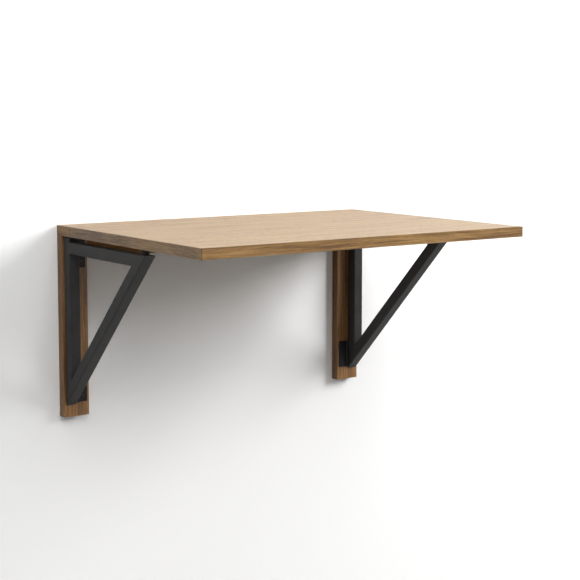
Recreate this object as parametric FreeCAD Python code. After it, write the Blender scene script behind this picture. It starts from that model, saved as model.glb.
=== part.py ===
import FreeCAD, Part
import math
import os

# Wall mounted drop leaf table, in millimetres.
# +X runs along the wall to the right, +Y goes into the wall and +Z is up.
# The wall is the plane Y = 0 and the origin is the centre of the four wall screws.

# ---- table top ----
table_width = 800.0
table_depth = 600.0
board_thickness = 22.0
shelf_depth = 60.0            # fixed strip of the top, next to the wall
seam_gap = 1.0                # between the fixed strip and the leaf
lipping_thickness = 3.0       # solid oak strips glued round the veneered boards
arris_radius = 0.8            # every sharp wooden edge is eased by this much

# ---- wooden wall frame ----
batten_width = 60.0
batten_thickness = 22.0
batten_tail = 26.5            # of each batten below the foot of its post
rail_height = 50.0
rail_thickness = 22.0
dowel_radius = 4.0
dowel_length = 30.0
dowel_flat_count = 8          # a fluted dowel is drawn with flats, glued in its hole
batten_dowel_spacing = 26.0
batten_dowel_in_shelf = 13.0
rail_dowel_spacing = 26.0
rail_dowel_in_batten = 11.0
dowel_spare_depth = 1.0

# ---- screws through the wall frame ----
wall_screw_rows = 200.0       # between the upper and the lower row
wall_screw_drop = 110.0       # from the table's top face to the upper row
wall_screw_inset = 16.0       # from the table's side
wall_screw_hole_radius = 2.75
wall_screw_head_radius = 5.5
wall_screw_flat_count = 12    # round the countersink in each batten
rail_screw_inset = 140.0      # from a batten to the nearer screw in the rail
shelf_screw_count = 4
shelf_screw_inset = 40.0      # from a batten to the outermost of them
shelf_screw_radius = 2.25
shelf_screw_head_radius = 4.3
shelf_screw_length = 45.0
shelf_screw_counterbore = 20.0
shelf_screw_counterbore_radius = 5.0
screw_flat_count = 6          # small screws are drawn with flats in place of a thread
screw_fit = 0.05

# ---- folding steel frames ----
tube_side = 25.0
tube_wall = 1.5
tube_corner_radius = 2.5
frame_side_inset = 4.0        # from the table's side to the tube
post_standoff = 2.5           # between the batten and the back of the post
post_top_gap = 3.0            # between the board's underside and the cap
arm_top_gap = 12.0            # between the board's underside and the arm
arm_reach = 382.0             # from the wall to the tip of the arm
brace_angle = 45.0            # of the brace below the arm, in degrees

# ---- plastic cap in the top of each post ----
cap_head_thickness = 2.0
cap_spigot_length = 12.0
cap_spigot_wall = 1.6
cap_fit = 0.1

# ---- rubber bumper on each arm ----
bumper_radius = 7.5
bumper_from_tip = 21.0
bumper_gap = 0.3              # to the leaf that it carries
bumper_recess_radius = 4.2
bumper_recess_depth = 6.0
bumper_screw_radius = 2.0
bumper_screw_head_radius = 3.6
bumper_screw_head_height = 2.4
bumper_screw_in_tube = 4.0

# ---- butt hinges, six of one size ----
hinge_length = 64.0
hinge_plate_width = 22.0      # from the pin's axis to the plate's edge
hinge_plate_thickness = 2.0
hinge_axis_offset = 3.5       # from the pin's axis to the face that the plate is screwed on
knuckle_radius = 3.2
knuckle_count = 3
knuckle_gap = 0.3
knuckle_notch_clearance = 0.4
pin_radius = 1.5
pin_fit = 0.05
hinge_screw_spacing = 36.0
hinge_screw_distance = 12.5   # from the pin's axis
hinge_screw_radius = 1.9
hinge_screw_head_radius = 3.6
batten_screw_length = 18.0
board_screw_length = 16.0
post_screw_length = 6.0
upper_hinge_drop = 39.0       # from the board's underside to the hinge's middle
lower_hinge_rise = 36.5       # from the foot of the post to the hinge's middle
leaf_hinge_inset = 200.0      # from the table's side to the middle of a leaf hinge

# ---- levels and planes that follow from the sizes ----
top_z = wall_screw_rows / 2 + wall_screw_drop
underside_z = top_z - board_thickness
rail_bottom_z = underside_z - rail_height
half_width = table_width / 2
batten_inner_x = half_width - batten_width
wall_screw_x = half_width - wall_screw_inset
rail_screw_x = batten_inner_x - rail_screw_inset
leaf_back_y = -(shelf_depth + seam_gap)
post_back_y = -(batten_thickness + post_standoff)
post_front_y = post_back_y - tube_side
post_outer_x = half_width - frame_side_inset
post_inner_x = post_outer_x - tube_side
tube_x = (post_outer_x + post_inner_x) / 2
post_top_z = underside_z - post_top_gap - cap_head_thickness
arm_top_z = underside_z - arm_top_gap
arm_bottom_z = arm_top_z - tube_side
tip_y = -arm_reach
foot_z = arm_top_z - (post_back_y - tip_y) * math.tan(math.radians(brace_angle))
batten_bottom_z = foot_z - batten_tail
frame_axis_x = post_inner_x - hinge_axis_offset
frame_axis_y = -(batten_thickness + hinge_axis_offset)
upper_hinge_z = underside_z - upper_hinge_drop
lower_hinge_z = foot_z + lower_hinge_rise
leaf_hinge_x = half_width - leaf_hinge_inset
leaf_axis_y = -(shelf_depth + seam_gap / 2)
leaf_axis_z = underside_z - hinge_axis_offset
reach = 2 * (table_width + table_depth)   # longer than anything on the table

Vector = FreeCAD.Vector
ALONG_X = Vector(1, 0, 0)
ALONG_Y = Vector(0, 1, 0)
ALONG_Z = Vector(0, 0, 1)

overcut = 1.0                 # how far a cutting tool runs past the face that it opens
pick_distance = 1.0           # how near to a plane an edge's middle has to be to be picked


# ---- general shapes ----

def near(value, target):
    """Whether a coordinate lies close enough to a plane for its edge to be picked."""
    return abs(value - target) < pick_distance


def placed(shape, position, direction=ALONG_Z):
    """A copy of the shape with its own +Z turned to a direction and its origin moved."""
    moved = shape.copy()
    moved.Placement = FreeCAD.Placement(position, FreeCAD.Rotation(ALONG_Z, direction))
    return moved


def mirrored(shape):
    """The same piece on the table's other side."""
    return shape.mirror(Vector(0, 0, 0), ALONG_X)


def faceted(outline, flats):
    """A small turned piece drawn with flats, from (radius, height) points, about its own Z axis."""
    rings = []
    for radius, height in outline:
        corners = []
        for index in range(flats):
            angle = 2 * math.pi * index / flats
            corners.append(Vector(radius * math.cos(angle), radius * math.sin(angle), height))
        rings.append(corners)
    loops = [rings[0], rings[-1]]
    for lower, upper in zip(rings, rings[1:]):
        for index in range(flats):
            after = (index + 1) % flats
            loops.append([lower[index], lower[after], upper[after], upper[index]])
    faces = [Part.Face(Part.makePolygon(loop + loop[:1])) for loop in loops]
    solid = Part.makeSolid(Part.makeShell(faces))
    return solid if solid.Volume > 0 else solid.reversed()


def board(low, high, is_eased):
    """A board between two corners, with the edges that is_eased picks rounded over."""
    size = high - low
    plank = Part.makeBox(size.x, size.y, size.z, low)
    edges = [edge for edge in plank.Edges if is_eased(edge.CenterOfMass)]
    return plank.makeFillet(arris_radius, edges)


def countersunk_screw(radius, head_radius, length):
    """A screw whose flat head lies at its origin and whose shank points along +Z."""
    cone_depth = head_radius - radius
    point_start = length - 2 * radius
    point_radius = radius / 4
    outline = [(head_radius, 0), (radius, cone_depth), (radius, point_start), (point_radius, length)]
    return faceted(outline, screw_flat_count)


def countersunk_hole(radius, head_radius, length):
    """The hole that a countersunk screw needs: a cone at its origin, then a bore along +Z."""
    cone_depth = head_radius - radius
    mouth = head_radius + screw_fit
    bore = radius + screw_fit
    outline = [(mouth, -overcut), (mouth, 0), (bore, cone_depth), (bore, length)]
    return faceted(outline, screw_flat_count)


def dowel():
    """A fluted dowel, centred on its origin along Z."""
    half = dowel_length / 2
    return faceted([(dowel_radius, -half), (dowel_radius, half)], dowel_flat_count)


def dowel_hole():
    """Room for a dowel, a little deeper at both ends."""
    half = dowel_length / 2 + dowel_spare_depth
    return faceted([(dowel_radius, -half), (dowel_radius, half)], dowel_flat_count)


# ---- wooden wall frame ----

def batten_dowel_places():
    """Upright dowels that join the fixed strip of the top to the two battens."""
    middle_x = half_width - batten_width / 2
    middle_z = underside_z + batten_dowel_in_shelf - dowel_length / 2
    places = []
    for side in (-1, 1):
        for step in (-0.5, 0.5):
            x = side * middle_x + step * batten_dowel_spacing
            places.append((Vector(x, -batten_thickness / 2, middle_z), ALONG_Z))
    return places


def rail_dowel_places():
    """Level dowels that join the rail's ends to the battens."""
    middle_x = batten_inner_x + rail_dowel_in_batten - dowel_length / 2
    middle_z = underside_z - rail_height / 2
    places = []
    for side in (-1, 1):
        for step in (-0.5, 0.5):
            z = middle_z + step * rail_dowel_spacing
            places.append((Vector(side * middle_x, -rail_thickness / 2, z), ALONG_X))
    return places


def shelf_screw_places():
    """Screws that rise through the rail into the fixed strip."""
    head_z = rail_bottom_z + shelf_screw_counterbore
    first_x = shelf_screw_inset - batten_inner_x
    pitch = -2 * first_x / (shelf_screw_count - 1)
    stations = [first_x + index * pitch for index in range(shelf_screw_count)]
    return [(Vector(x, -rail_thickness / 2, head_z), ALONG_Z) for x in stations]


def copies(tool, places):
    """The same tool or piece at each place."""
    return [placed(tool, position, direction) for position, direction in places]


def shelf_screw_room():
    """A counterbore under each shelf screw, then its countersunk hole."""
    hole = countersunk_hole(shelf_screw_radius, shelf_screw_head_radius, shelf_screw_length)
    wide = shelf_screw_counterbore_radius
    mouth = faceted([(wide, -2 * shelf_screw_counterbore), (wide, 0)], screw_flat_count)
    return hole.fuse(mouth)


def wall_screw_bore(thickness):
    """A round hole for a wall screw, through wood along +Z."""
    return Part.makeCylinder(wall_screw_hole_radius, thickness + 2 * overcut, Vector(0, 0, -overcut))


def wall_screw_countersink():
    """The seat of a wall screw's flat head, which lies at its origin."""
    depth = wall_screw_head_radius - wall_screw_hole_radius
    wide = wall_screw_head_radius
    return faceted([(wide, -overcut), (wide, 0), (wide - depth, depth)], wall_screw_flat_count)


def wall_shelf():
    """The fixed strip of the top: a veneered board on the battens and the rail."""
    side_x = half_width - lipping_thickness
    low = Vector(-side_x, -shelf_depth, underside_z)
    high = Vector(side_x, 0, top_z)
    strip = board(low, high, lambda at: near(at.y, -shelf_depth) and near(at.x, 0))
    tools = copies(dowel_hole(), batten_dowel_places())
    tools += copies(shelf_screw_room(), shelf_screw_places())
    tools += board_screw_row(1, hinge_screw_hole(board_screw_length))
    return strip.cut(tools)


def shelf_right_lipping():
    """The solid oak strip on the right end of the fixed strip."""
    low = Vector(half_width - lipping_thickness, -shelf_depth, underside_z)
    high = Vector(half_width, 0, top_z)
    return board(low, high, lambda at: near(at.x, half_width) and near(at.y, -shelf_depth / 2))


def back_rail():
    """The rail along the wall, between the battens and under the fixed strip."""
    low = Vector(-batten_inner_x, -rail_thickness, rail_bottom_z)
    high = Vector(batten_inner_x, 0, underside_z)
    rail = board(low, high, lambda at: near(at.z, rail_bottom_z) and near(at.x, 0))
    tools = copies(dowel_hole(), rail_dowel_places())
    tools += copies(shelf_screw_room(), shelf_screw_places())
    middle_z = underside_z - rail_height / 2
    for side in (-1, 1):
        mouth = Vector(side * rail_screw_x, -rail_thickness, middle_z)
        tools.append(placed(wall_screw_bore(rail_thickness), mouth, ALONG_Y))
    return rail.cut(tools)


def right_wall_batten():
    """The upright oak batten that carries one folding frame."""
    low = Vector(batten_inner_x, -batten_thickness, batten_bottom_z)
    high = Vector(half_width, 0, underside_z)
    middle_z = (batten_bottom_z + underside_z) / 2
    upright = board(low, high, lambda at: near(at.z, middle_z))
    tools = copies(dowel_hole(), batten_dowel_places() + rail_dowel_places())
    for row in (-0.5, 0.5):
        mouth = Vector(wall_screw_x, -batten_thickness, row * wall_screw_rows)
        tools.append(placed(wall_screw_bore(batten_thickness), mouth, ALONG_Y))
        tools.append(placed(wall_screw_countersink(), mouth, ALONG_Y))
    tools += at_both_frame_hinges(hinge_screw_hole(batten_screw_length), batten_plate_screws())
    return upright.cut(tools)


# ---- leaf ----

def leaf_board():
    """The veneered board that drops, without its oak lippings."""
    side_x = half_width - lipping_thickness
    low = Vector(-side_x, -(table_depth - lipping_thickness), underside_z)
    high = Vector(side_x, leaf_back_y, top_z)
    leaf = board(low, high, lambda at: near(at.y, leaf_back_y) and near(at.x, 0))
    return leaf.cut(board_screw_row(-1, hinge_screw_hole(board_screw_length)))


def leaf_front_lipping():
    """The oak strip along the front, which covers the ends of the side lippings."""
    low = Vector(-half_width, -table_depth, underside_z)
    high = Vector(half_width, -(table_depth - lipping_thickness), top_z)
    return board(low, high, lambda at: near(at.y, -table_depth))


def leaf_right_lipping():
    """The oak strip along the leaf's right side."""
    low = Vector(half_width - lipping_thickness, -(table_depth - lipping_thickness), underside_z)
    high = Vector(half_width, leaf_back_y, top_z)
    middle_y = (low.y + high.y) / 2
    return board(low, high, lambda at: near(at.x, half_width) and near(at.y, middle_y))


# ---- butt hinges ----
# A hinge is drawn with its pin along its own Z. Its plates lie along its own X,
# and each plate is a slab at a set height along its own Y.

def knuckle_span(index):
    """Where one knuckle starts and ends along the pin."""
    pitch = hinge_length / knuckle_count
    start = index * pitch - hinge_length / 2
    return start, start + pitch


def plate_screws(side, seat, drive):
    """Screw heads and directions on a plate that is screwed to a face at height seat.

    side is the way the plate lies from the pin, and drive is the way its screws point."""
    head_y = seat - drive * hinge_plate_thickness
    x = side * hinge_screw_distance
    heads = [Vector(x, head_y, step * hinge_screw_spacing) for step in (-0.5, 0.5)]
    return [(head, Vector(0, drive, 0)) for head in heads]


def hinge_plate(side, seat, drive, parity):
    """One plate with its rolled knuckles: the even or the odd ones along the pin."""
    low_x = min(0.0, side * hinge_plate_width)
    low_y = min(seat, seat - drive * hinge_plate_thickness)
    corner = Vector(low_x, low_y, -hinge_length / 2)
    plate = Part.makeBox(hinge_plate_width, hinge_plate_thickness, hinge_length, corner)
    notch = knuckle_radius + knuckle_notch_clearance
    rolls = []
    cuts = []
    for index in range(knuckle_count):
        start, end = knuckle_span(index)
        if index % 2 == parity:
            start += knuckle_gap / 2 if index > 0 else 0.0
            end -= knuckle_gap / 2 if index < knuckle_count - 1 else 0.0
            rolls.append(Part.makeCylinder(knuckle_radius, end - start, Vector(0, 0, start)))
        else:
            low = Vector(-notch, -2 * notch, start - knuckle_gap / 2)
            cuts.append(Part.makeBox(2 * notch, 4 * notch, end - start + knuckle_gap, low))
    bore = Part.makeCylinder(pin_radius + pin_fit, 2 * hinge_length, Vector(0, 0, -hinge_length))
    hole = hinge_screw_hole(2 * hinge_plate_thickness)
    cuts += [bore] + copies(hole, plate_screws(side, seat, drive))
    return plate.fuse(rolls).cut(cuts).removeSplitter()


def hinge_screw(length):
    """A countersunk screw that holds a plate to wood or to the post."""
    return countersunk_screw(hinge_screw_radius, hinge_screw_head_radius, length)


def hinge_screw_hole(length):
    """Room for that screw."""
    return countersunk_hole(hinge_screw_radius, hinge_screw_head_radius, length)


def hinge_pin():
    """The plain steel pin, flush with the outer knuckles."""
    return Part.makeCylinder(pin_radius, hinge_length, Vector(0, 0, -hinge_length / 2))


def at_frame_hinge(shape, middle_z):
    """A hinge piece moved to the right frame's upright pin, at the height of a hinge's middle."""
    moved = shape.copy()
    moved.translate(Vector(frame_axis_x, frame_axis_y, middle_z))
    return moved


def at_leaf_hinge(shape, station):
    """A hinge piece turned so that its pin lies level below the seam, at a station along X."""
    rotation = FreeCAD.Rotation(ALONG_Y, ALONG_Z, ALONG_X, "XYZ")
    turned = shape.copy()
    turned.Placement = FreeCAD.Placement(Vector(station, leaf_axis_y, leaf_axis_z), rotation).multiply(
        shape.Placement)
    return turned


def batten_plate_screws():
    """Screws of the plate on the batten, which lies on the inner side of the pin."""
    return plate_screws(-1, hinge_axis_offset, 1)


def post_plate_screws():
    """Screws of the plate on the back of the post, driven in from the wall side."""
    return plate_screws(1, hinge_axis_offset - post_standoff, -1)


def batten_hinge_plate():
    """The plate that is screwed to the batten's front face."""
    return hinge_plate(-1, hinge_axis_offset, 1, 0)


def post_hinge_plate():
    """The plate that is screwed to the post's back, between the post and the batten."""
    return hinge_plate(1, hinge_axis_offset - post_standoff, -1, 1)


def at_both_frame_hinges(piece, spots):
    """The same piece or hole at each spot of the right frame's upper and lower hinge."""
    levels = (upper_hinge_z, lower_hinge_z)
    return [at_frame_hinge(one, level) for level in levels for one in copies(piece, spots)]


def leaf_hinge_row(shape):
    """A hinge piece at the left and the right station under the seam."""
    return [at_leaf_hinge(shape, station) for station in (-leaf_hinge_x, leaf_hinge_x)]


def board_screw_row(side, shape):
    """A screw or a hole at each screw place on one side of the seam."""
    spots = plate_screws(side, hinge_axis_offset, 1)
    return [one for shape_at_spot in copies(shape, spots) for one in leaf_hinge_row(shape_at_spot)]


# ---- folding steel frame, drawn for the right side ----

def rounded_square(side, corner_radius):
    """A closed square outline with round corners, centred on its origin, in XY."""
    half = side / 2
    straight = half - corner_radius
    diagonal = straight + corner_radius * math.cos(math.radians(45))
    edges = []
    for quarter in range(4):
        turn = FreeCAD.Rotation(ALONG_Z, 90 * quarter)
        start = turn.multVec(Vector(half, -straight, 0))
        end = turn.multVec(Vector(half, straight, 0))
        bend = turn.multVec(Vector(diagonal, diagonal, 0))
        after = turn.multVec(Vector(straight, half, 0))
        edges.append(Part.makeLine(start, end))
        edges.append(Part.Arc(end, bend, after).toShape())
    return Part.Wire(edges)


def square_tube(start, end):
    """A hollow square tube whose centre line runs from start to end in a plane of constant X."""
    run = end - start
    bore_side = tube_side - 2 * tube_wall
    bore_corner = Vector(-bore_side / 2, -bore_side / 2, 0)
    outside = Part.Face(rounded_square(tube_side, tube_corner_radius)).extrude(Vector(0, 0, run.Length))
    tube = outside.cut(Part.makeBox(bore_side, bore_side, run.Length, bore_corner))
    length_way = Vector(run).normalize()
    rotation = FreeCAD.Rotation(ALONG_X, length_way.cross(ALONG_X), length_way, "ZXY")
    tube.Placement = FreeCAD.Placement(start, rotation)
    return tube


def trimmed(solid, outer_corner, inner_corner, kept_point):
    """The part of a tube that lies on kept_point's side of a mitre through two corners."""
    along_cut = inner_corner - outer_corner
    normal = along_cut.cross(ALONG_X).normalize()
    if normal.dot(kept_point - outer_corner) > 0:
        normal = normal.negative()
    half_space = Part.makeBox(reach, reach, reach, Vector(-reach / 2, -reach / 2, 0))
    return solid.cut(placed(half_space, outer_corner, normal))


def in_frame_plane(y, z):
    """A point in the middle plane of the right frame."""
    return Vector(tube_x, y, z)


def brace_point(inward, forward):
    """A point on the brace, from its outer line towards the inside, and from the tip down."""
    angle = math.radians(brace_angle)
    y = tip_y + inward * math.sin(angle) + forward * math.cos(angle)
    z = arm_top_z + inward * math.cos(angle) - forward * math.sin(angle)
    return in_frame_plane(y, z)


def brace_corners():
    """Outer and inner mitre corners at the tip and at the foot of the frame."""
    angle = math.radians(brace_angle)
    tip_outer = brace_point(0, 0)
    tip_inner = brace_point(tube_side, tube_side * (1 + math.cos(angle)) / math.sin(angle))
    foot_outer = in_frame_plane(post_back_y, foot_z)
    run_to_post = (post_front_y - tip_y - tube_side * math.sin(angle)) / math.cos(angle)
    foot_inner = brace_point(tube_side, run_to_post)
    return tip_outer, tip_inner, foot_outer, foot_inner


def frame_post():
    """The upright tube, mitred to the brace at its foot and drilled for the hinge screws."""
    foot_outer, foot_inner = brace_corners()[2:]
    centre_y = (post_back_y + post_front_y) / 2
    tube = square_tube(in_frame_plane(centre_y, foot_outer.z), in_frame_plane(centre_y, post_top_z))
    post = trimmed(tube, foot_outer, foot_inner, in_frame_plane(centre_y, post_top_z))
    return post.cut(at_both_frame_hinges(hinge_screw_hole(post_screw_length), post_plate_screws()))


def frame_arm():
    """The level tube under the leaf, welded to the post and mitred to the brace at its tip."""
    tip_outer, tip_inner = brace_corners()[:2]
    centre_z = (arm_top_z + arm_bottom_z) / 2
    tube = square_tube(in_frame_plane(post_front_y, centre_z), in_frame_plane(tip_y, centre_z))
    arm = trimmed(tube, tip_outer, tip_inner, in_frame_plane(post_front_y, centre_z))
    bore = bumper_screw_radius + screw_fit
    hole = faceted([(bore, 0), (bore, tube_side)], screw_flat_count)
    return arm.cut(placed(hole, in_frame_plane(bumper_y(), centre_z)))


def frame_brace():
    """The sloping tube from the tip of the arm to the foot of the post."""
    tip_outer, tip_inner, foot_outer, foot_inner = brace_corners()
    slope_length = (foot_outer - tip_outer).Length
    middle = brace_point(tube_side / 2, slope_length / 2)
    tube = square_tube(brace_point(tube_side / 2, 0), brace_point(tube_side / 2, slope_length + tube_side))
    return trimmed(trimmed(tube, tip_outer, tip_inner, middle), foot_outer, foot_inner, middle)


def post_cap():
    """The plastic plug in the open top of the post, with a hollow square spigot."""
    spigot_side = tube_side - 2 * (tube_wall + cap_fit)
    bore_side = spigot_side - 2 * cap_spigot_wall
    head = Part.Face(rounded_square(tube_side, tube_corner_radius)).extrude(Vector(0, 0, cap_head_thickness))
    spigot = centred_plug(spigot_side).cut(centred_plug(bore_side))
    cap = head.fuse(spigot).removeSplitter()
    return placed(cap, in_frame_plane((post_back_y + post_front_y) / 2, post_top_z))


def centred_plug(side):
    """A square block as long as the cap's spigot, hanging from its origin."""
    return Part.makeBox(side, side, cap_spigot_length, Vector(-side / 2, -side / 2, -cap_spigot_length))


def bumper_y():
    """Where the bumper stands along the arm."""
    return tip_y + bumper_from_tip


def bumper():
    """The round rubber foot that carries the leaf, with a recess for its screw."""
    height = arm_top_gap - bumper_gap
    recess_floor = height - bumper_recess_depth
    bore = bumper_screw_radius + screw_fit
    foot = Part.makeCylinder(bumper_radius, height)
    hole = faceted([(bore, -overcut), (bore, height)], screw_flat_count)
    wide = bumper_recess_radius
    recess = faceted([(wide, recess_floor), (wide, height + overcut)], screw_flat_count)
    return placed(foot.cut([hole, recess]), in_frame_plane(bumper_y(), arm_top_z))


def bumper_screw():
    """The pan head screw at the bottom of the bumper's recess, tapped into the arm."""
    seat_z = arm_top_z + arm_top_gap - bumper_gap - bumper_recess_depth
    shank_length = seat_z - arm_top_z + bumper_screw_in_tube
    head_radius = bumper_screw_head_radius
    head = faceted([(head_radius, 0), (head_radius, bumper_screw_head_height)], screw_flat_count)
    shank = faceted([(bumper_screw_radius, -shank_length), (bumper_screw_radius, 0)], screw_flat_count)
    return placed(head.fuse(shank), in_frame_plane(bumper_y(), seat_z))


# ---- every node by name ----

def wall_frame_nodes():
    """The fixed strip, rail, battens and what joins them."""
    lipping = shelf_right_lipping()
    batten = right_wall_batten()
    shelf_screw = countersunk_screw(shelf_screw_radius, shelf_screw_head_radius, shelf_screw_length)
    return {
        "wall_shelf": wall_shelf(),
        "shelf_left_lipping": mirrored(lipping),
        "shelf_right_lipping": lipping,
        "back_rail": back_rail(),
        "left_wall_batten": mirrored(batten),
        "right_wall_batten": batten,
        "batten_dowels": Part.makeCompound(copies(dowel(), batten_dowel_places())),
        "rail_dowels": Part.makeCompound(copies(dowel(), rail_dowel_places())),
        "shelf_screws": Part.makeCompound(copies(shelf_screw, shelf_screw_places())),
    }


def leaf_nodes():
    """The leaf and its oak lippings."""
    lipping = leaf_right_lipping()
    return {
        "leaf_board": leaf_board(),
        "leaf_front_lipping": leaf_front_lipping(),
        "leaf_left_lipping": mirrored(lipping),
        "leaf_right_lipping": lipping,
    }


def leaf_hinge_nodes():
    """The two hinges under the seam."""
    nodes = {}
    rows = {
        "shelf_hinge_plate": leaf_hinge_row(hinge_plate(1, hinge_axis_offset, 1, 0)),
        "leaf_hinge_plate": leaf_hinge_row(hinge_plate(-1, hinge_axis_offset, 1, 1)),
        "leaf_hinge_pin": leaf_hinge_row(hinge_pin()),
    }
    for name, row in rows.items():
        nodes["left_" + name], nodes["right_" + name] = row
    screw = hinge_screw(board_screw_length)
    nodes["shelf_hinge_screws"] = Part.makeCompound(board_screw_row(1, screw))
    nodes["leaf_hinge_screws"] = Part.makeCompound(board_screw_row(-1, screw))
    return nodes


def right_side_pieces():
    """One folding frame and its hinges, named without their side."""
    batten_screws = at_both_frame_hinges(hinge_screw(batten_screw_length), batten_plate_screws())
    post_screws = at_both_frame_hinges(hinge_screw(post_screw_length), post_plate_screws())
    pieces = {
        "frame_post": frame_post(),
        "frame_arm": frame_arm(),
        "frame_brace": frame_brace(),
        "post_cap": post_cap(),
        "bumper": bumper(),
        "bumper_screw": bumper_screw(),
        "batten_hinge_screws": Part.makeCompound(batten_screws),
        "post_hinge_screws": Part.makeCompound(post_screws),
    }
    for level, middle_z in (("upper", upper_hinge_z), ("lower", lower_hinge_z)):
        pieces[level + "_batten_plate"] = at_frame_hinge(batten_hinge_plate(), middle_z)
        pieces[level + "_post_plate"] = at_frame_hinge(post_hinge_plate(), middle_z)
        pieces[level + "_hinge_pin"] = at_frame_hinge(hinge_pin(), middle_z)
    return pieces


def all_nodes():
    """Every node of the table."""
    nodes = wall_frame_nodes()
    nodes.update(leaf_nodes())
    nodes.update(leaf_hinge_nodes())
    for name, shape in right_side_pieces().items():
        nodes["right_" + name] = shape
        nodes["left_" + name] = mirrored(shape)
    return nodes


os.makedirs("parts", exist_ok=True)
for node, shape in all_nodes().items():
    shape.exportStep("parts/%s.step" % node)
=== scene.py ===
import bmesh
import bpy
import math
from mathutils import Euler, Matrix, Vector


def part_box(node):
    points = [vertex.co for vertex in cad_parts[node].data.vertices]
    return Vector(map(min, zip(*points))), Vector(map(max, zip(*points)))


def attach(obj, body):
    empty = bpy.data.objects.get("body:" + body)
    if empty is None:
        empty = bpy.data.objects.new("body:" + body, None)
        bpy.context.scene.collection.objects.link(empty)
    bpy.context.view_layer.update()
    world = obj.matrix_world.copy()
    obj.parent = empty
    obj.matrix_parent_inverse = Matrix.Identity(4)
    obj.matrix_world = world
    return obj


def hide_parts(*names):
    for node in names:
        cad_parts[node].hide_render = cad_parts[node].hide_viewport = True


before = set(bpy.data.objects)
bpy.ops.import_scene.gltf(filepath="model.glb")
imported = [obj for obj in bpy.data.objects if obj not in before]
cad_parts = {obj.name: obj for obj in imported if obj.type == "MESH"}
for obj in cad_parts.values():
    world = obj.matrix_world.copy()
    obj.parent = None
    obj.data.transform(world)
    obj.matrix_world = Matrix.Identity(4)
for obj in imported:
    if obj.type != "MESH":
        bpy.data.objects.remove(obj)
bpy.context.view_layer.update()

# ---- oak battens on the wall ----
# Two upright strips of solid oak, planed, eased along their long edges and given a thin matt
# lacquer. They are screwed to the wall, and each carries one steel frame on two butt hinges.

MM = 0.001
GRAIN_ALONG_Z = (0.0, math.pi / 2, 0.0)
BATTEN_LIGHT = "#9F7544"
BATTEN_DARK = "#5A3B1E"
BATTEN_TO_HEART = Vector((-75 * MM, 16 * MM, 0.0))
OAK_PORE = "#422B14"
OAK_PORE_MM = (14, 0.9, 0.9)
OAK_PORE_DARKNESS = 0.55
OAK_PORE_DULLNESS = 0.2
OAK_CUT_END_DARKNESS = 0.45
OAK_RING_LENGTH_MM = 260
OAK_STREAK_STRETCH = 30
OAK_SWAY = 22 * MM
OAK_WAVE_MM = (350, 80, 80)
OAK_RELIEF_STRENGTH = 0.35
OAK_RELIEF_DEPTH = 0.15 * MM
LACQUER_ROUGHNESS = 0.42
PLAIN_GLOSS = 0.5
NOISE_ROUGHNESS = 0.6


def linear(hex_colour):
    """An sRGB hex colour as the linear values that a shader takes."""
    shares = [int(hex_colour[at:at + 2], 16) / 255 for at in (1, 3, 5)]
    return tuple(c / 12.92 if c <= 0.04045 else ((c + 0.055) / 1.055) ** 2.4 for c in shares) + (1.0,)


def add_node(tree, kind, inputs=None, **settings):
    """Adds a node with its settings, and gives each input a value or the socket that feeds it."""
    node = tree.nodes.new(kind)
    for name, value in settings.items():
        setattr(node, name, value)
    for name, value in (inputs or {}).items():
        if isinstance(value, bpy.types.Node):
            value = value.outputs[0]
        if isinstance(value, bpy.types.NodeSocket):
            tree.links.new(value, node.inputs[name])
        else:
            node.inputs[name].default_value = value
    return node


def new_material(name):
    """An empty material and its node tree."""
    material = bpy.data.materials.new(name)
    material.use_nodes = True
    material.node_tree.nodes.clear()
    return material, material.node_tree


def marks(tree, vector, size_mm, low, high, seed=0.0, detail=2.0):
    """A pattern from 0 to 1 of marks of one size in millimetres, along the pattern's own axes."""
    scale = tuple(1 / (side * MM) for side in size_mm)
    scaled = add_node(tree, "ShaderNodeVectorMath", {0: vector, 1: scale}, operation="MULTIPLY")
    noise = add_node(tree, "ShaderNodeTexNoise", {
        "Vector": scaled, "W": seed, "Scale": 1.0, "Detail": detail, "Roughness": NOISE_ROUGHNESS},
        noise_dimensions="4D")
    return add_node(tree, "ShaderNodeMapRange", {"Value": noise, "From Min": low, "From Max": high})


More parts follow.
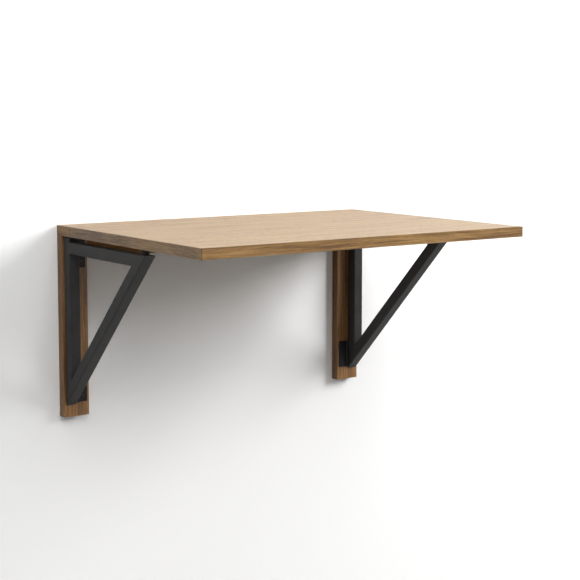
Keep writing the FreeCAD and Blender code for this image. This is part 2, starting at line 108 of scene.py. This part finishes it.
def oak(name, turn, heart, light, dark, ring_mm, streak_mm, seed, roughness=LACQUER_ROUGHNESS,
        gloss=PLAIN_GLOSS):
    """Lacquered oak: warm brown lines that sway along the fibres, dark open pores and a soft sheen.

    turn brings the fibres to the pattern's X, and heart is a point in the middle of the tree, round
    which the rings run. Rings and streaks are about as wide as they say. The pores are drawn three
    times as wide as real ones, so that they show. Cut ends soak up more lacquer and are darker.
    Oak that is only oiled is rougher and has less gloss."""
    material, tree = new_material(name)
    place = add_node(tree, "ShaderNodeTexCoord")
    shift = -(Euler(turn).to_matrix() @ Vector(heart))
    turned = add_node(tree, "ShaderNodeMapping", {
        "Vector": place.outputs["Object"], "Rotation": turn, "Location": shift})
    sway = marks(tree, turned, OAK_WAVE_MM, low=0.0, high=1.0, seed=seed, detail=1.0)
    sway_axes = add_node(tree, "ShaderNodeCombineXYZ", {"Y": sway, "Z": sway})
    bent = add_node(tree, "ShaderNodeVectorMath", {
        0: sway_axes, 1: (0.0, OAK_SWAY, -OAK_SWAY), 2: turned}, operation="MULTIPLY_ADD")
    across = add_node(tree, "ShaderNodeVectorMath", {0: bent, 1: (0.0, 1.0, 1.0)}, operation="MULTIPLY")
    radius = add_node(tree, "ShaderNodeVectorMath", {0: across}, operation="LENGTH")
    axes = add_node(tree, "ShaderNodeSeparateXYZ", {0: bent})
    unrolled = add_node(tree, "ShaderNodeCombineXYZ", {"X": axes, "Y": radius.outputs["Value"]})

    ring_size_mm = (OAK_RING_LENGTH_MM, ring_mm, ring_mm)
    streak_size_mm = (streak_mm * OAK_STREAK_STRETCH, streak_mm, streak_mm)
    rings = marks(tree, unrolled, ring_size_mm, low=0.38, high=0.62, seed=seed)
    streaks = marks(tree, bent, streak_size_mm, low=0.36, high=0.64, seed=seed + 1)
    pores = marks(tree, bent, OAK_PORE_MM, low=0.56, high=0.72, seed=seed + 2, detail=1.0)
    half_streaks = add_node(tree, "ShaderNodeMath", {0: streaks, 1: 0.5}, operation="MULTIPLY")
    tone = add_node(tree, "ShaderNodeMath", {0: rings, 1: 0.5, 2: half_streaks},
                    operation="MULTIPLY_ADD")
    wood = add_node(tree, "ShaderNodeMix", {0: tone, 6: linear(light), 7: linear(dark)},
                    data_type="RGBA")
    pore_share = add_node(tree, "ShaderNodeMath", {0: pores, 1: OAK_PORE_DARKNESS}, operation="MULTIPLY")
    pored = add_node(tree, "ShaderNodeMix", {
        0: pore_share, 6: wood.outputs[2], 7: linear(OAK_PORE)}, data_type="RGBA")

    facing = add_node(tree, "ShaderNodeMapping", {
        "Vector": place.outputs["Normal"], "Rotation": turn}, vector_type="NORMAL")
    facing_axes = add_node(tree, "ShaderNodeSeparateXYZ", {0: facing})
    fibre_share = add_node(tree, "ShaderNodeMath", {0: facing_axes}, operation="ABSOLUTE")
    cut_end = add_node(tree, "ShaderNodeMapRange", {
        "Value": fibre_share, "From Min": 0.6, "From Max": 0.9, "To Max": OAK_CUT_END_DARKNESS})
    soaked = add_node(tree, "ShaderNodeMix", {
        0: cut_end, 6: pored.outputs[2], 7: linear(OAK_PORE)}, data_type="RGBA")

    dull = add_node(tree, "ShaderNodeMapRange", {
        "Value": pores, "To Min": roughness, "To Max": roughness + OAK_PORE_DULLNESS})
    depth = add_node(tree, "ShaderNodeMath", {0: pores, 1: -1.0, 2: half_streaks},
                     operation="MULTIPLY_ADD")
    relief = add_node(tree, "ShaderNodeBump", {
        "Height": depth, "Strength": OAK_RELIEF_STRENGTH, "Distance": OAK_RELIEF_DEPTH})
    shader = add_node(tree, "ShaderNodeBsdfPrincipled", {
        "Base Color": soaked.outputs[2], "Roughness": dull, "Normal": relief,
        "Specular IOR Level": gloss})
    add_node(tree, "ShaderNodeOutputMaterial", {"Surface": shader})
    return material


def dress(node, material):
    """Gives a CAD node its finish."""
    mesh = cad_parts[node].data
    mesh.materials.clear()
    mesh.materials.append(material)


def middle(node):
    """The middle of a CAD node's box."""
    low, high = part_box(node)
    return (low + high) / 2


for side in ("left", "right"):
    batten = side + "_wall_batten"
    heart = middle(batten) + BATTEN_TO_HEART
    dress(batten, oak(side + "_batten_solid_oak", GRAIN_ALONG_Z, heart, BATTEN_LIGHT, BATTEN_DARK,
                      ring_mm=6, streak_mm=3, seed=34.0))

# ---- oak rail ----
# A level strip of the same oak between the battens, tight under the top. It is screwed to the
# wall and takes the screws that hold the fixed strip. Out of sight, it is oiled and not
# lacquered, so it shows no sheen.

GRAIN_ALONG_X = (0.0, 0.0, 0.0)
OILED_ROUGHNESS = 0.75
OILED_GLOSS = 0.1
RAIL_TO_HEART = Vector((0.0, 60 * MM, -20 * MM))

rail_heart = middle("back_rail") + RAIL_TO_HEART
dress("back_rail", oak("rail_solid_oak", GRAIN_ALONG_X, rail_heart, BATTEN_LIGHT, BATTEN_DARK,
                       ring_mm=7, streak_mm=2.6, seed=5.0, roughness=OILED_ROUGHNESS,
                       gloss=OILED_GLOSS))

# ---- dowels ----
# Beech pins, glued into the battens, the rail and the fixed strip, where nothing shows. They are
# pale, dry and unfinished, with the short darker flecks that beech has.

BEECH_LIGHT = "#D9B48B"
BEECH_DARK = "#B78A5F"
BEECH_FLECK_MM = (3, 1, 3)
BEECH_ROUGHNESS = 0.7

beech, beech_tree = new_material("unfinished_beech")
beech_place = add_node(beech_tree, "ShaderNodeTexCoord")
beech_flecks = marks(beech_tree, beech_place.outputs["Object"], BEECH_FLECK_MM, low=0.45, high=0.7)
beech_colour = add_node(beech_tree, "ShaderNodeMix", {
    0: beech_flecks, 6: linear(BEECH_LIGHT), 7: linear(BEECH_DARK)}, data_type="RGBA")
beech_shader = add_node(beech_tree, "ShaderNodeBsdfPrincipled", {
    "Base Color": beech_colour.outputs[2], "Roughness": BEECH_ROUGHNESS})
add_node(beech_tree, "ShaderNodeOutputMaterial", {"Surface": beech_shader})
for node in ("batten_dowels", "rail_dowels"):
    dress(node, beech)

# ---- top: fixed strip and leaf ----
# Both are board with oak veneer, its grain along the table. Veneer of this kind is cut across the
# rings, so its lines run straight. Its colours are paler than the solid oak's, partly as the veneer's
# own tone and partly as painted light, standing in for the light that falls on the top. A matt
# lacquer leaves a soft sheen at a low angle.

# The veneer's two colours are partly painted light: they are paler than the oak's to stand in for the
# light on the top.
VENEER_PALE_WITH_PAINTED_LIGHT = "#B4986C"
VENEER_DARK_WITH_PAINTED_LIGHT = "#8F6F4F"
VENEER_HEART = (0.0, 1.4, -0.3)
VENEER_ROUGHNESS = 0.43

veneer = oak("oak_veneer_lacquered", GRAIN_ALONG_X, VENEER_HEART, VENEER_PALE_WITH_PAINTED_LIGHT, VENEER_DARK_WITH_PAINTED_LIGHT,
             ring_mm=16, streak_mm=5, seed=8.0, roughness=VENEER_ROUGHNESS)
for node in ("wall_shelf", "leaf_board"):
    dress(node, veneer)

# ---- lippings ----
# Solid oak strips 3 mm thick, glued round both boards and planed flush. Their grain runs with
# each edge, so the front strip shows its dark cut ends at the two front corners.

GRAIN_ALONG_Y = (0.0, 0.0, -math.pi / 2)
LIPPING_LIGHT = "#A27F4E"
LIPPING_DARK = "#513418"
FRONT_LIPPING_HEART = (0.0, -0.57, 0.26)
SIDE_LIPPING_HEART = (0.43, 0.0, 0.24)

front_lipping = oak("front_lipping_oak", GRAIN_ALONG_X, FRONT_LIPPING_HEART, LIPPING_LIGHT,
                    LIPPING_DARK, ring_mm=5, streak_mm=2.6, seed=11.0)
side_lipping = oak("side_lipping_oak", GRAIN_ALONG_Y, SIDE_LIPPING_HEART, LIPPING_LIGHT,
                   LIPPING_DARK, ring_mm=5, streak_mm=2.6, seed=14.0)
dress("leaf_front_lipping", front_lipping)
for node in ("leaf_left_lipping", "leaf_right_lipping", "shelf_left_lipping", "shelf_right_lipping"):
    dress(node, side_lipping)

# ---- screws up through the rail ----
# Four zinc plated wood screws with countersunk heads and cross recesses. They come up through
# deep holes in the rail and hold the fixed strip of the top. Their black passivate leaves a dark
# metal with a soft, slightly patchy gloss.

ROUND_SIDES = 24
RECESS_DEPTH_SHARE = 1.5
RECESS_LENGTH_SHARE = 1.1
RECESS_WIDTH_SHARE = 0.25
SPIN_SEED = 7
SMOOTH_ANGLE = 35
UP = (0.0, 0.0, 1.0)
HALF_ROW = 300 * MM
RAIL_SCREW_MM = {"face_radius": 4.3, "neck_radius": 2.25, "head_depth": 2.05, "shank_radius": 2.25}


def darkened_metal(name, mark_mm, low, high, tints, roughness):
    """A dark metal whose marks change its tint and its gloss a little, from one value to the other."""
    material, tree = new_material(name)
    place = add_node(tree, "ShaderNodeTexCoord")
    patches = marks(tree, place.outputs["Object"], mark_mm, low=low, high=high)
    tint = add_node(tree, "ShaderNodeMix", {
        0: patches, 6: linear(tints[0]), 7: linear(tints[1])}, data_type="RGBA")
    dull = add_node(tree, "ShaderNodeMapRange", {
        "Value": patches, "To Min": roughness[0], "To Max": roughness[1]})
    shader = add_node(tree, "ShaderNodeBsdfPrincipled", {
        "Base Color": tint.outputs[2], "Metallic": 1.0, "Roughness": dull})
    add_node(tree, "ShaderNodeOutputMaterial", {"Surface": shader})
    return material


def screw_tree():
    """Puts one screw at each point of a mesh. It runs along Aim from the face of its head."""
    tree = bpy.data.node_groups.new("cross_head_screws", "GeometryNodeTree")
    tree.interface.new_socket("Geometry", in_out="INPUT", socket_type="NodeSocketGeometry")
    for name in ("Face Radius", "Neck Radius", "Head Depth", "Shank Radius", "Length", "Tip Length"):
        tree.interface.new_socket(name, in_out="INPUT", socket_type="NodeSocketFloat")
    tree.interface.new_socket("Aim", in_out="INPUT", socket_type="NodeSocketVector")
    tree.interface.new_socket("Plating", in_out="INPUT", socket_type="NodeSocketMaterial")
    tree.interface.new_socket("Geometry", in_out="OUTPUT", socket_type="NodeSocketGeometry")
    given = tree.nodes.new("NodeGroupInput").outputs

    head = add_node(tree, "GeometryNodeMeshCone", {
        "Vertices": ROUND_SIDES, "Radius Bottom": given["Face Radius"],
        "Radius Top": given["Neck Radius"], "Depth": given["Head Depth"]})
    shank_length = add_node(tree, "ShaderNodeMath", {
        0: given["Length"], 1: given["Tip Length"]}, operation="SUBTRACT")
    shank = add_node(tree, "GeometryNodeMeshCone", {
        "Vertices": ROUND_SIDES, "Radius Bottom": given["Shank Radius"],
        "Radius Top": given["Shank Radius"], "Depth": shank_length})
    tip = add_node(tree, "GeometryNodeMeshCone", {
        "Vertices": ROUND_SIDES, "Radius Bottom": given["Shank Radius"], "Radius Top": 0.0,
        "Depth": given["Tip Length"]})
    tip_place = add_node(tree, "ShaderNodeCombineXYZ", {"Z": shank_length})
    placed_tip = add_node(tree, "GeometryNodeTransform", {
        "Geometry": tip.outputs["Mesh"], "Translation": tip_place})
    body = add_node(tree, "GeometryNodeMeshBoolean", operation="UNION", solver="EXACT")
    for part in (placed_tip.outputs["Geometry"], shank.outputs["Mesh"], head.outputs["Mesh"]):
        tree.links.new(part, body.inputs["Mesh 2"])
    recess_depth, recess_length, recess_width = (
        add_node(tree, "ShaderNodeMath", {0: given[of_what], 1: share}, operation="MULTIPLY")
        for of_what, share in (("Head Depth", RECESS_DEPTH_SHARE), ("Face Radius", RECESS_LENGTH_SHARE),
                               ("Face Radius", RECESS_WIDTH_SHARE)))
    driven = add_node(tree, "GeometryNodeMeshBoolean", {"Mesh 1": body.outputs["Mesh"]},
                      operation="DIFFERENCE", solver="EXACT")
    for width, length in ((recess_width, recess_length), (recess_length, recess_width)):
        arm_size = add_node(tree, "ShaderNodeCombineXYZ", {"X": width, "Y": length, "Z": recess_depth})
        arm = add_node(tree, "GeometryNodeMeshCube", {"Size": arm_size})
        tree.links.new(arm.outputs["Mesh"], driven.inputs["Mesh 2"])

    aim = add_node(tree, "FunctionNodeAlignRotationToVector", {"Vector": given["Aim"]}, axis="Z")
    turn = add_node(tree, "FunctionNodeRandomValue", {3: math.pi / 2, "Seed": SPIN_SEED},
                    data_type="FLOAT")
    spin = add_node(tree, "ShaderNodeCombineXYZ", {"Z": turn.outputs[1]})
    spun = add_node(tree, "FunctionNodeRotateRotation", {"Rotation": aim, "Rotate By": spin},
                    rotation_space="LOCAL")
    row = add_node(tree, "GeometryNodeInstanceOnPoints", {
        "Points": given["Geometry"], "Instance": driven.outputs["Mesh"], "Rotation": spun})
    real = add_node(tree, "GeometryNodeRealizeInstances", {"Geometry": row.outputs["Instances"]})
    plated = add_node(tree, "GeometryNodeSetMaterial", {
        "Geometry": real.outputs["Geometry"], "Material": given["Plating"]})
    add_node(tree, "NodeGroupOutput", {"Geometry": plated.outputs["Geometry"]})
    return tree


def grown(name, points, tree, values):
    """The plain mesh that a tree grows on some points; values are the tree's inputs by name."""
    seeds = bpy.data.meshes.new(name + "_seeds")
    seeds.from_pydata(points, [], [])
    holder = bpy.data.objects.new(name + "_seeds", seeds)
    bpy.context.scene.collection.objects.link(holder)
    growth = holder.modifiers.new("growth", "NODES")
    growth.node_group = tree
    sockets = {item.name: item.identifier for item in tree.interface.items_tree
               if item.in_out == "INPUT"}
    for label, value in values.items():
        growth[sockets[label]] = value
    ready = holder.evaluated_get(bpy.context.evaluated_depsgraph_get())
    mesh = bpy.data.meshes.new_from_object(ready)
    bpy.data.objects.remove(holder)
    return mesh


def new_piece(name, mesh, material, body, *replaced):
    """Shows a finished mesh in one material, on a body of the frame and in place of CAD nodes.

    It is shaded smooth, apart from edges that turn by more than SMOOTH_ANGLE."""
    mesh.materials.clear()
    mesh.materials.append(material)
    mesh.polygons.foreach_set("material_index", [0] * len(mesh.polygons))
    mesh.polygons.foreach_set("use_smooth", [True] * len(mesh.polygons))
    mesh.set_sharp_from_angle(angle=math.radians(SMOOTH_ANGLE))
    piece = bpy.data.objects.new(name, mesh)
    bpy.context.scene.collection.objects.link(piece)
    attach(piece, body)
    if replaced:
        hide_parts(*replaced)
    return piece


def screw_row(node, body, points, aim, **sizes_mm):
    """Replaces a CAD row of screws by finished ones. The points are the faces of their heads."""
    values = {label.replace("_", " ").title(): size * MM for label, size in sizes_mm.items()}
    mesh = grown(node, points, screws, dict(values, Aim=aim, Plating=black_zinc))
    piece = new_piece(node + "_detailed", mesh, black_zinc, body, node)


screws = screw_tree()
black_zinc = darkened_metal("black_zinc_plate", mark_mm=(4, 4, 4), low=0.35, high=0.65,
                            tints=("#262628", "#38383B"), roughness=(0.32, 0.45))
head_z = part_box("shelf_screws")[0].z
shelf_points = [(x, middle("shelf_screws").y, head_z)
                for x in (-HALF_ROW, -HALF_ROW / 3, HALF_ROW / 3, HALF_ROW)]
screw_row("shelf_screws", "wall_frame", shelf_points, UP, length=45, tip_length=6, **RAIL_SCREW_MM)

# ---- hinges of the leaf ----
# Two butt hinges pressed from 2 mm steel and painted black. Their paint is darker than the frames'
# coat, partly as painted shade for the shadow the plates sit in. Their pins are blackened steel rod
# with faint marks round them from turning, and two short screws hold each plate under the fixed
# strip or under the leaf.

HINGE_SCREW_MM = {"face_radius": 3.6, "neck_radius": 1.9, "head_depth": 1.7, "shank_radius": 1.9}
HALF_SCREW_SPACING = 18 * MM
CLOUD_MM = (60, 60, 60)
CLOUD_SHINE = 0.03
CLOUD_DULLNESS = 0.05
PEBBLE_STRENGTH = 0.3


def coat(name, black, grey, roughness, pebble_mm, pebble_depth_mm, gloss=PLAIN_GLOSS):
    """A matt black skin of paint, powder or plastic: faint clouds and a dull, finely pebbled sheen.

    The pebble is drawn two or three times as coarse as a real one, so that it shows."""
    material, tree = new_material(name)
    place = add_node(tree, "ShaderNodeTexCoord")
    clouds = marks(tree, place.outputs["Object"], CLOUD_MM, low=0.35, high=0.65)
    colour = add_node(tree, "ShaderNodeMix", {0: clouds, 6: linear(black), 7: linear(grey)},
                      data_type="RGBA")
    pebble = marks(tree, place.outputs["Object"], (pebble_mm,) * 3, low=0.3, high=0.7, seed=2.0,
                   detail=1.0)
    relief = add_node(tree, "ShaderNodeBump", {
        "Height": pebble, "Strength": PEBBLE_STRENGTH, "Distance": pebble_depth_mm * MM})
    dull = add_node(tree, "ShaderNodeMapRange", {
        "Value": clouds, "To Min": roughness - CLOUD_SHINE, "To Max": roughness + CLOUD_DULLNESS})
    shader = add_node(tree, "ShaderNodeBsdfPrincipled", {
        "Base Color": colour.outputs[2], "Roughness": dull, "Normal": relief,
        "Specular IOR Level": gloss})
    add_node(tree, "ShaderNodeOutputMaterial", {"Surface": shader})
    return material


# The hinge plates' near-black colours are partly painted shade, darker than the frames' coat for the
# shadow the plates sit in.
hinge_paint_and_shade = coat("black_painted_steel", black="#101011", grey="#161617", roughness=0.45,
                   pebble_mm=1.4, pebble_depth_mm=0.02, gloss=0.2)
pin_steel = darkened_metal("blackened_pin_steel", mark_mm=(2, 2, 0.4), low=0.3, high=0.7,
                           tints=("#5A5A5C", "#4A4A4C"), roughness=(0.3, 0.4))
for side in ("left", "right"):
    dress(side + "_shelf_hinge_plate", hinge_paint_and_shade)
    dress(side + "_leaf_hinge_plate", hinge_paint_and_shade)
    dress(side + "_leaf_hinge_pin", pin_steel)
leaf_hinge_x = [middle(side + "_shelf_hinge_plate").x for side in ("left", "right")]
for node, body in (("shelf_hinge_screws", "wall_frame"), ("leaf_hinge_screws", "leaf")):
    head_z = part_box(node)[0].z
    board_points = [(x + way * HALF_SCREW_SPACING, middle(node).y, head_z)
                    for x in leaf_hinge_x for way in (-1, 1)]
    screw_row(node, body, board_points, UP, length=16, tip_length=4, **HINGE_SCREW_MM)

# ---- hinges of the steel frames ----
# Two of the same hinges for each frame. One plate lies on the batten, and the other is held to
# the back of the post by machine screws tapped into the tube.

TO_THE_WALL = (0.0, 1.0, 0.0)
FROM_THE_WALL = (0.0, -1.0, 0.0)

for side in ("left", "right"):
    for level in ("upper", "lower"):
        dress(side + "_" + level + "_batten_plate", hinge_paint_and_shade)
        dress(side + "_" + level + "_post_plate", hinge_paint_and_shade)
        dress(side + "_" + level + "_hinge_pin", pin_steel)
    levels = [middle(side + "_" + level + "_batten_plate").z for level in ("upper", "lower")]
    batten_screws = side + "_batten_hinge_screws"
    head_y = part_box(batten_screws)[0].y
    batten_points = [(middle(batten_screws).x, head_y, z + way * HALF_SCREW_SPACING)
                     for z in levels for way in (-1, 1)]
    screw_row(batten_screws, "wall_frame", batten_points, TO_THE_WALL, length=18, tip_length=5,
              **HINGE_SCREW_MM)
    post_screws = side + "_post_hinge_screws"
    head_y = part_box(post_screws)[1].y
    post_points = [(middle(post_screws).x, head_y, z + way * HALF_SCREW_SPACING)
                   for z in levels for way in (-1, 1)]
    screw_row(post_screws, side + "_frame", post_points, FROM_THE_WALL, length=6, tip_length=0.8,
              **HINGE_SCREW_MM)

# ---- folding steel frames ----
# Square steel tube, 25 by 25 by 1.5 mm, mitred, welded and ground flush, then powder coated in a
# fine matt black. The coat is a plastic skin, so it is dull, slightly pebbled and not metallic.

TUBE_CORNER = 2.5 * MM
BEAD_RADIUS = 1.6 * MM
CORNER_STEPS = 4

powder_coat = coat("black_powder_coat", black="#353434", grey="#3F3E3E", roughness=0.5,
                   pebble_mm=1.5, pebble_depth_mm=0.12, gloss=0.14)


def prism(mesh, ends):
    """Adds a bar to a bmesh between the outlines of its two ends, which match point for point."""
    rings = [[mesh.verts.new(point) for point in end] for end in ends]
    count = len(rings[0])
    for at in range(count):
        after = (at + 1) % count
        mesh.faces.new((rings[0][at], rings[0][after], rings[1][after], rings[1][at]))
    mesh.faces.new(rings[0][::-1])
    mesh.faces.new(rings[1])


def bead_outline(corner, first, second):
    """The outline of a hollow weld in an inside corner between two directions in (y, z)."""
    half = first.angle(second) / 2
    run = BEAD_RADIUS / math.tan(half)
    centre = corner + (first + second).normalized() * (BEAD_RADIUS / math.sin(half))
    start = (corner + first * run - centre).normalized()
    end = (corner + second * run - centre).normalized()
    arc = [centre + start.slerp(end, step / CORNER_STEPS) * BEAD_RADIUS
           for step in range(CORNER_STEPS + 1)]
    return [corner] + arc


def frame_welds(side):
    """The welds of one frame: hollow beads in its inside corners, and the groove at the post filled."""
    arm_low, arm_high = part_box(side + "_frame_arm")
    tube = arm_high.z - arm_low.z
    post_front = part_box(side + "_frame_post")[0].y
    slope = Vector((1.0, -1.0)).normalized()
    brace_sum = arm_low.y + arm_high.z + tube * math.sqrt(2)
    corners = (
        (Vector((post_front, arm_low.z)), Vector((-1.0, 0.0)), Vector((0.0, -1.0))),
        (Vector((post_front, arm_high.z)), Vector((-1.0, 0.0)), Vector((0.0, 1.0))),
        (Vector((brace_sum - arm_low.z, arm_low.z)), Vector((1.0, 0.0)), slope),
        (Vector((post_front, brace_sum - post_front)), Vector((0.0, 1.0)), -slope))
    bead_ends = (arm_low.x + TUBE_CORNER, arm_high.x - TUBE_CORNER)
    groove_ends = (arm_low.z + TUBE_CORNER, arm_high.z - TUBE_CORNER)
    turns = [math.pi / 2 * step / CORNER_STEPS for step in range(CORNER_STEPS + 1)]
    mesh = bmesh.new()
    for corner, first, second in corners:
        outline = bead_outline(corner, first, second)
        prism(mesh, [[(x, y, z) for y, z in outline] for x in bead_ends])
    for face_x, way in ((arm_low.x, 1), (arm_high.x, -1)):
        hollow = [(face_x + way * TUBE_CORNER * (1 - math.cos(turn)),
                   post_front + TUBE_CORNER * (1 - math.sin(turn))) for turn in turns]
        groove = [(face_x, post_front)] + hollow
        prism(mesh, [[(x, y, z) for x, y in groove] for z in groove_ends])
    bmesh.ops.recalc_face_normals(mesh, faces=mesh.faces)
    welds = bpy.data.meshes.new(side + "_frame_welds")
    mesh.to_mesh(welds)
    mesh.free()
    return welds


for side in ("left", "right"):
    for tube in ("frame_post", "frame_arm", "frame_brace"):
        dress(side + "_" + tube, powder_coat)
    welds = new_piece(side + "_frame_welds", frame_welds(side), powder_coat, side + "_frame")

# ---- caps in the posts ----
# Moulded polyethylene plugs, pushed into the open tops of the posts. They are blacker and duller
# than the steel, with the fine grain of their mould.

cap_plastic = coat("moulded_polyethylene", black="#161616", grey="#1C1C1C", roughness=0.6,
                   pebble_mm=0.8, pebble_depth_mm=0.02)
for side in ("left", "right"):
    dress(side + "_post_cap", cap_plastic)

# ---- bumpers ----
# Moulded black rubber feet near the tips of the arms, each held by a screw at the bottom of its
# recess. The leaf rests on them. The rubber is the dullest black here and shows no gloss.

BUMPER_PROFILE_MM = (
    (2.1, 0.0), (7.2, 0.0), (7.5, 0.3), (7.35, 9.9), (7.2, 10.7), (6.8, 11.3), (6.1, 11.7),
    (5.0, 11.7), (4.4, 11.5), (4.2, 11.1), (4.2, 5.7), (2.1, 5.7))
BUMPER_SIDES = 40
BUMPER_SCREW_MM = {"face_radius": 2.9, "neck_radius": 3.6, "head_depth": 2.4, "shank_radius": 2}
DOWN = (0.0, 0.0, -1.0)

rubber = coat("moulded_rubber", black="#101010", grey="#171717", roughness=0.8, pebble_mm=0.6,
              pebble_depth_mm=0.02)


def lathed_ring(name, profile_mm, centre):
    """A ring with a closed profile of (radius, height) points, turned round an upright axis."""
    mesh = bmesh.new()
    rings = []
    for step in range(BUMPER_SIDES):
        turn = 2 * math.pi * step / BUMPER_SIDES
        rings.append([mesh.verts.new((centre.x + radius * MM * math.cos(turn),
                                      centre.y + radius * MM * math.sin(turn),
                                      centre.z + height * MM)) for radius, height in profile_mm])
    for step in range(BUMPER_SIDES):
        here, there = rings[step], rings[(step + 1) % BUMPER_SIDES]
        for at in range(len(profile_mm)):
            after = (at + 1) % len(profile_mm)
            mesh.faces.new((here[at], there[at], there[after], here[after]))
    bmesh.ops.recalc_face_normals(mesh, faces=mesh.faces)
    ring = bpy.data.meshes.new(name)
    mesh.to_mesh(ring)
    mesh.free()
    return ring


for side in ("left", "right"):
    bumper = side + "_bumper"
    foot = Vector((middle(bumper).x, middle(bumper).y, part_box(bumper)[0].z))
    ring = lathed_ring(bumper + "_ring", BUMPER_PROFILE_MM, foot)
    new_piece(bumper + "_foot", ring, rubber, side + "_frame", bumper)
    head_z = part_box(side + "_bumper_screw")[1].z
    screw_row(side + "_bumper_screw", side + "_frame", [(foot.x, foot.y, head_z)], DOWN, length=12.1,
              tip_length=1, **BUMPER_SCREW_MM)

# ---- stage ----
# A white wall that the table hangs on and a pale floor below it. Both are clear from behind, and
# the floor looks nearly as pale where little light falls on it.

WALL_Y = -0.4 * MM
FLOOR_Z = -1.35
HALF_STAGE = 3.4
WALL_TOP = 2.8
FLOOR_GLOW = 0.7
WALL_WHITE = "#FFFFFF"
WALL_BOUNCE = "#B4B4B4"
FLOOR_PALE = "#F6F5F3"
FLOOR_BOUNCE = "#A8A7A5"


def seen_directly(tree):
    """1 for what the camera sees, also in gloss and through glass, and 0 for light that bounces."""
    path = add_node(tree, "ShaderNodeLightPath")
    shown = path.outputs["Is Camera Ray"]
    for kind in ("Is Glossy Ray", "Is Transmission Ray"):
        shown = add_node(tree, "ShaderNodeMath", {0: shown, 1: path.outputs[kind]},
                         operation="MAXIMUM").outputs[0]
    return shown


def one_sided(name, shown_colour, bounce_colour, glow=0.0):
    """Matt paint that is clear from behind and bounces less light than it shows."""
    material, tree = new_material(name)
    seen = seen_directly(tree)
    colour = add_node(tree, "ShaderNodeMix", {
        0: seen, 6: linear(bounce_colour), 7: linear(shown_colour)}, data_type="RGBA")
    paint = add_node(tree, "ShaderNodeBsdfDiffuse", {"Color": colour.outputs[2]})
    pale = add_node(tree, "ShaderNodeEmission", {"Color": linear(shown_colour)})
    glow_share = add_node(tree, "ShaderNodeMath", {0: seen, 1: glow}, operation="MULTIPLY")
    front = add_node(tree, "ShaderNodeMixShader", {0: glow_share, 1: paint, 2: pale})
    faces = add_node(tree, "ShaderNodeNewGeometry")
    clear = add_node(tree, "ShaderNodeBsdfTransparent")
    surface = add_node(tree, "ShaderNodeMixShader", {
        0: faces.outputs["Backfacing"], 1: front, 2: clear})
    add_node(tree, "ShaderNodeOutputMaterial", {"Surface": surface})
    return material


def flat_panel(name, corners, material):
    """One flat panel of the stage; its corners run anticlockwise as seen from its front."""
    mesh = bpy.data.meshes.new(name)
    mesh.from_pydata(corners, [], [tuple(range(len(corners)))])
    mesh.materials.append(material)
    panel = bpy.data.objects.new(name, mesh)
    bpy.context.scene.collection.objects.link(panel)


flat_panel("wall", [
    (-HALF_STAGE, WALL_Y, FLOOR_Z), (HALF_STAGE, WALL_Y, FLOOR_Z),
    (HALF_STAGE, WALL_Y, WALL_TOP), (-HALF_STAGE, WALL_Y, WALL_TOP)],
    one_sided("white_wall_paint", WALL_WHITE, WALL_BOUNCE))
flat_panel("floor", [
    (-HALF_STAGE, -HALF_STAGE, FLOOR_Z), (HALF_STAGE, -HALF_STAGE, FLOOR_Z),
    (HALF_STAGE, HALF_STAGE, FLOOR_Z), (-HALF_STAGE, HALF_STAGE, FLOOR_Z)],
    one_sided("pale_floor", FLOOR_PALE, FLOOR_BOUNCE, FLOOR_GLOW))

# ---- light ----
# Soft lamps in a white room: the key from the right, a wide fill from the front and above, two weak
# lamps that lift the shadows, and one behind the wall for the back of the table.

ROOM_WHITE = "#FFFFFF"
ROOM_STRENGTH = 0.024
LAMP_DISTANCE = 4.0
WIDE_LAMP = 2.4


def soft_lamp(name, side_angle, height_angle, watts, width=WIDE_LAMP):
    """A square area lamp, aimed at the table from two angles in degrees, that isn't seen itself."""
    across, up = math.radians(side_angle), math.radians(height_angle)
    level = math.cos(up)
    way = Vector((math.sin(across) * level, -math.cos(across) * level, math.sin(up)))
    lamp = bpy.data.lights.new(name, "AREA")
    lamp.size = width
    lamp.energy = watts
    holder = bpy.data.objects.new(name, lamp)
    holder.location = way * LAMP_DISTANCE
    holder.rotation_euler = way.to_track_quat("Z", "Y").to_euler()
    holder.visible_camera = False
    holder.visible_glossy = False
    bpy.context.scene.collection.objects.link(holder)


soft_lamp("key_lamp", side_angle=56, height_angle=25, watts=172.0, width=1.9)
soft_lamp("fill_lamp", side_angle=-17, height_angle=44, watts=82.0)
soft_lamp("front_lamp", side_angle=4, height_angle=24, watts=20.0)
soft_lamp("side_lamp", side_angle=-52, height_angle=28, watts=20.0)
soft_lamp("rear_lamp", side_angle=160, height_angle=30, watts=60.0)

room = bpy.data.worlds.new("room")
room.use_nodes = True
room.node_tree.nodes.clear()
room_strength = add_node(room.node_tree, "ShaderNodeMapRange", {
    "Value": seen_directly(room.node_tree), "To Min": ROOM_STRENGTH, "To Max": 1.0})
room_light = add_node(room.node_tree, "ShaderNodeBackground", {
    "Color": linear(ROOM_WHITE), "Strength": room_strength})
add_node(room.node_tree, "ShaderNodeOutputWorld", {"Surface": room_light})
bpy.context.scene.world = room
bpy.context.scene.view_settings.view_transform = "Standard"

# ---- camera ----
# A long lens, a little above the table and to the left of it. It looks slightly down, and a small
# shift sets the table at its height in the frame.

LENS_MM = 88.014
SHIFT_Y = -0.0882
EYE_PLACE = (-1.7311, -2.7858, 0.4734)
DEGREES_DOWN = 5.5
DEGREES_RIGHT = 34.911

eye = bpy.data.cameras.new("camera")
eye.lens = LENS_MM
eye.shift_y = SHIFT_Y
camera = bpy.data.objects.new("camera", eye)
camera.location = EYE_PLACE
camera.rotation_euler = (math.radians(90 - DEGREES_DOWN), 0.0, math.radians(-DEGREES_RIGHT))
bpy.context.scene.collection.objects.link(camera)
bpy.context.scene.camera = camera
